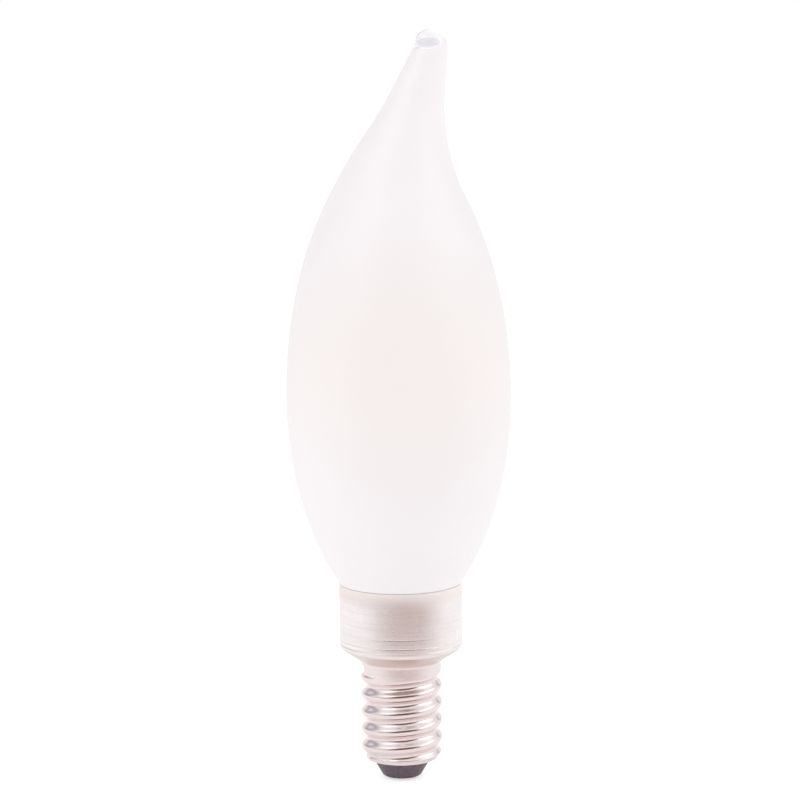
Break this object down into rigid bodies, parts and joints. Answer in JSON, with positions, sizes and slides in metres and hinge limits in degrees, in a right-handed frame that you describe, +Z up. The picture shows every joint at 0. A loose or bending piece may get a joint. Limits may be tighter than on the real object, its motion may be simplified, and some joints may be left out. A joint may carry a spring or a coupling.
{
  "type": "candle bulb",
  "caption": "Candle bulb with a frosted glass envelope, a bent flame tip that ends in a clear sealed nub, and a skirted metal screw cap with a black insulator.",
  "frame": {"origin": "on the cap's axis, at the flat of the centre contact, which is the lowest point", "axes": "+Z up along the axis, from the cap to the tip; +X towards the side the tip bends to"},
  "size_m": [0.032, 0.032, 0.1078],
  "materials": {
    "frosted_glass": "frosted, opal white",
    "satin_nickel": "satin, draw lines around the axis",
    "cement": "matt",
    "black_insulator": "gloss",
    "contact_metal": "satin"
  },
  "bodies": {
    "root": {"glass_bulb": "frosted_glass", "screw_cap": "satin_nickel", "basing_cement": "cement", "base_insulator": "black_insulator", "centre_contact": "contact_metal"}
  },
  "joints": []
}
